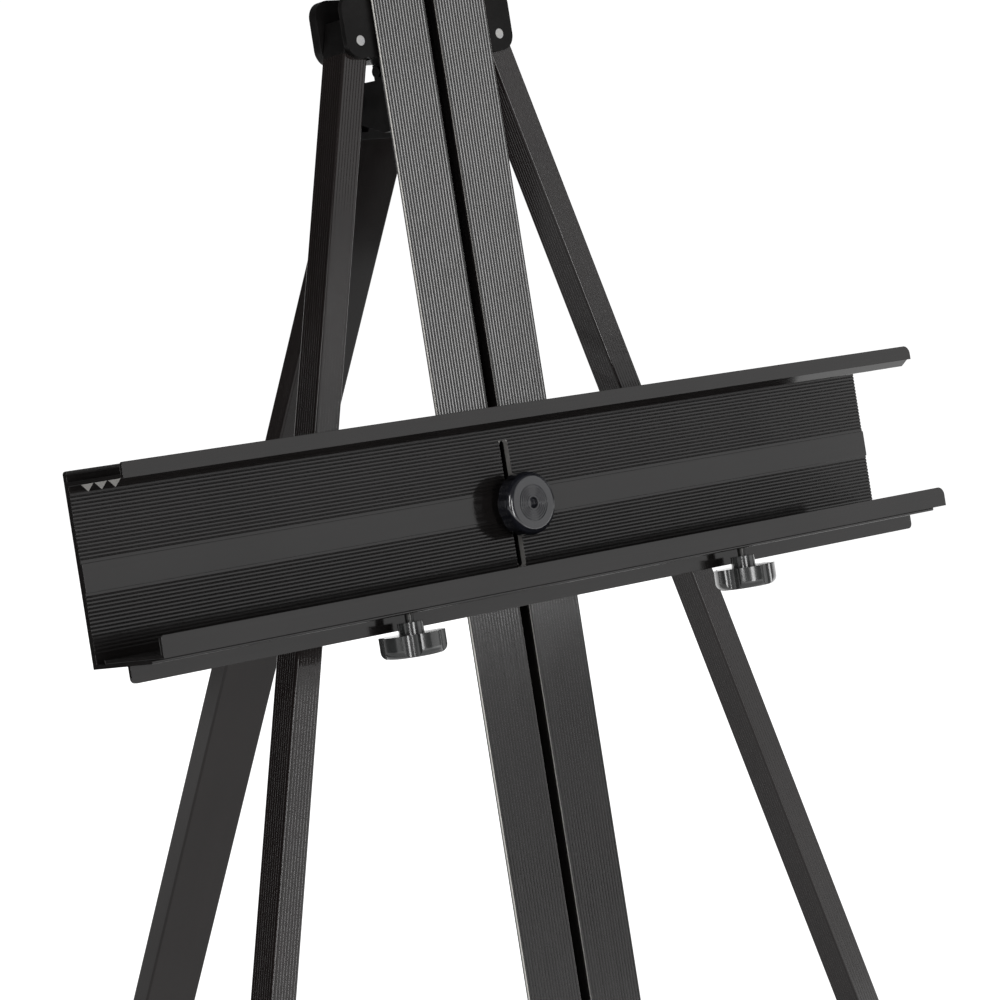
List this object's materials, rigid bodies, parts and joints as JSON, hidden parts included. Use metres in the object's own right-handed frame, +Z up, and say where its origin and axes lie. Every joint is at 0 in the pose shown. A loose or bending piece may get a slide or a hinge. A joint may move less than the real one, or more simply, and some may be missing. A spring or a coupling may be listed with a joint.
{
  "type": "tripod display easel",
  "caption": "Black aluminium tripod easel with a slotted ribbed mast, deep ribbed canvas tray with ledge and sliding lip, clamp knobs and telescoping legs.",
  "frame": {"origin": "centre of the bounding box's base, on the floor under the easel", "axes": "+Z up, -Y towards the viewer in front of the tray, +X to the viewer's right"},
  "size_m": [0.8506, 0.7524, 1.585],
  "materials": {
    "ribbed_aluminium": "satin black anodised",
    "smooth_aluminium": "satin black anodised",
    "knob_plastic": "glossy black",
    "bracket_plastic": "satin black",
    "rubber": "matt",
    "zinc_steel": "zinc plated"
  },
  "bodies": {
    "mast": {"mast_extrusion": "ribbed_aluminium", "mast_cap_top": "bracket_plastic", "mast_cap_bottom": "bracket_plastic", "head_bracket": "bracket_plastic", "rear_hinge_bracket": "bracket_plastic", "head_screws": "zinc_steel", "bracket_rivet": "bracket_plastic", "left_pivot_pin": "zinc_steel", "right_pivot_pin": "zinc_steel", "rear_pivot_pin": "zinc_steel"},
    "left_leg": {"left_upper_tube": "ribbed_aluminium", "left_leg_plug": "bracket_plastic", "left_lock_collar": "bracket_plastic"},
    "right_leg": {"right_upper_tube": "ribbed_aluminium", "right_leg_plug": "bracket_plastic", "right_lock_collar": "bracket_plastic"},
    "rear_leg": {"rear_upper_tube": "smooth_aluminium", "rear_leg_plug": "bracket_plastic", "rear_lock_collar": "bracket_plastic"},
    "left_extension": {"left_lower_tube": "smooth_aluminium", "left_guide_plug": "bracket_plastic", "left_foot": "rubber"},
    "right_extension": {"right_lower_tube": "smooth_aluminium", "right_guide_plug": "bracket_plastic", "right_foot": "rubber"},
    "rear_extension": {"rear_lower_tube": "smooth_aluminium", "rear_guide_plug": "bracket_plastic", "rear_foot": "rubber"},
    "left_lock": {"left_lock_knob": "knob_plastic", "left_lock_stud": "zinc_steel"},
    "right_lock": {"right_lock_knob": "knob_plastic", "right_lock_stud": "zinc_steel"},
    "rear_lock": {"rear_lock_knob": "knob_plastic", "rear_lock_stud": "zinc_steel"},
    "tray_carriage": {"tray_nut": "zinc_steel", "tray_stud": "zinc_steel"},
    "tray_swivel": {"swivel_collar": "bracket_plastic"},
    "tray": {"tray_extrusion": "ribbed_aluminium", "left_rail_bolt": "zinc_steel", "right_rail_bolt": "zinc_steel"},
    "tray_clamp": {"tray_knob": "knob_plastic"},
    "rail": {"rail_extrusion": "smooth_aluminium"},
    "left_rail_clamp": {"left_rail_knob": "knob_plastic"},
    "right_rail_clamp": {"right_rail_knob": "knob_plastic"},
    "canvas_clamp": {"canvas_clamp": "bracket_plastic", "clamp_pad": "rubber", "clamp_nut": "zinc_steel", "clamp_stud": "zinc_steel"},
    "canvas_clamp_screw": {"clamp_knob": "knob_plastic"}
  },
  "joints": [
    {"name": "left_leg_fold", "type": "hinge", "parent": "mast", "child": "left_leg", "pos_m": [-0.0536, -0.08736, 1.16074], "axis": [0, -0.9729, 0.2312], "range_deg": [0, 16.2]},
    {"name": "right_leg_fold", "type": "hinge", "parent": "mast", "child": "right_leg", "pos_m": [0.0536, -0.08736, 1.16074], "axis": [0, 0.9729, -0.2312], "range_deg": [0, 16.2]},
    {"name": "rear_leg_fold", "type": "hinge", "parent": "mast", "child": "rear_leg", "pos_m": [0, -0.05388, 1.12298], "axis": [-1, 0, 0], "range_deg": [0, 32]},
    {"name": "left_leg_slide", "type": "slide", "parent": "left_leg", "child": "left_extension", "axis": [0.2885, 0.2214, 0.9315], "range_m": [-0.08, 0.42]},
    {"name": "right_leg_slide", "type": "slide", "parent": "right_leg", "child": "right_extension", "axis": [-0.2885, 0.2214, 0.9315], "range_m": [-0.08, 0.42]},
    {"name": "rear_leg_slide", "type": "slide", "parent": "rear_leg", "child": "rear_extension", "axis": [0, -0.3518, 0.9361], "range_m": [-0.08, 0.38]},
    {"name": "left_lock_turn", "type": "hinge", "parent": "left_leg", "child": "left_lock", "pos_m": [-0.28338, -0.24765, 0.48635], "axis": [-0.9575, 0.0667, 0.2807], "range_deg": [-180, 180]},
    {"name": "right_lock_turn", "type": "hinge", "parent": "right_leg", "child": "right_lock", "pos_m": [0.28338, -0.24765, 0.48635], "axis": [0.9575, 0.0667, 0.2807], "range_deg": [-180, 180]},
    {"name": "rear_lock_turn", "type": "hinge", "parent": "rear_leg", "child": "rear_lock", "pos_m": [0, 0.21981, 0.44599], "axis": [0, 0.9361, 0.3518], "range_deg": [-180, 180]},
    {"name": "tray_height", "type": "slide", "parent": "mast", "child": "tray_carriage", "axis": [0, 0.2312, 0.9729], "range_m": [-0.34, 0.3]},
    {"name": "tray_level", "type": "hinge", "parent": "tray_carriage", "child": "tray_swivel", "pos_m": [0, -0.17264, 0.89619], "axis": [0, -0.9729, 0.2312], "range_deg": [-8, 8]},
    {"name": "tray_fine_height", "type": "slide", "parent": "tray_swivel", "child": "tray", "axis": [0, 0.2312, 0.9729], "range_m": [-0.025, 0.023]},
    {"name": "tray_clamp_turn", "type": "hinge", "parent": "tray_carriage", "child": "tray_clamp", "pos_m": [0, -0.17945, 0.89781], "axis": [0, -0.9729, 0.2312], "range_deg": [-180, 180]},
    {"name": "rail_reach", "type": "slide", "parent": "tray", "child": "rail", "axis": [0, -0.9729, 0.2312], "range_m": [-0.006, 0.024]},
    {"name": "left_rail_clamp_turn", "type": "hinge", "parent": "tray", "child": "left_rail_clamp", "pos_m": [-0.126, -0.2267, 0.84994], "axis": [0, -0.2312, -0.9729], "range_deg": [-180, 180]},
    {"name": "right_rail_clamp_turn", "type": "hinge", "parent": "tray", "child": "right_rail_clamp", "pos_m": [0.137, -0.2267, 0.84994], "axis": [0, -0.2312, -0.9729], "range_deg": [-180, 180]},
    {"name": "canvas_clamp_height", "type": "slide", "parent": "mast", "child": "canvas_clamp", "axis": [0, 0.2312, 0.9729], "range_m": [-0.13, 0.1]},
    {"name": "canvas_clamp_turn", "type": "hinge", "parent": "canvas_clamp", "child": "canvas_clamp_screw", "pos_m": [0, -0.05073, 1.44806], "axis": [0, -0.9729, 0.2312], "range_deg": [-180, 180]}
  ]
}
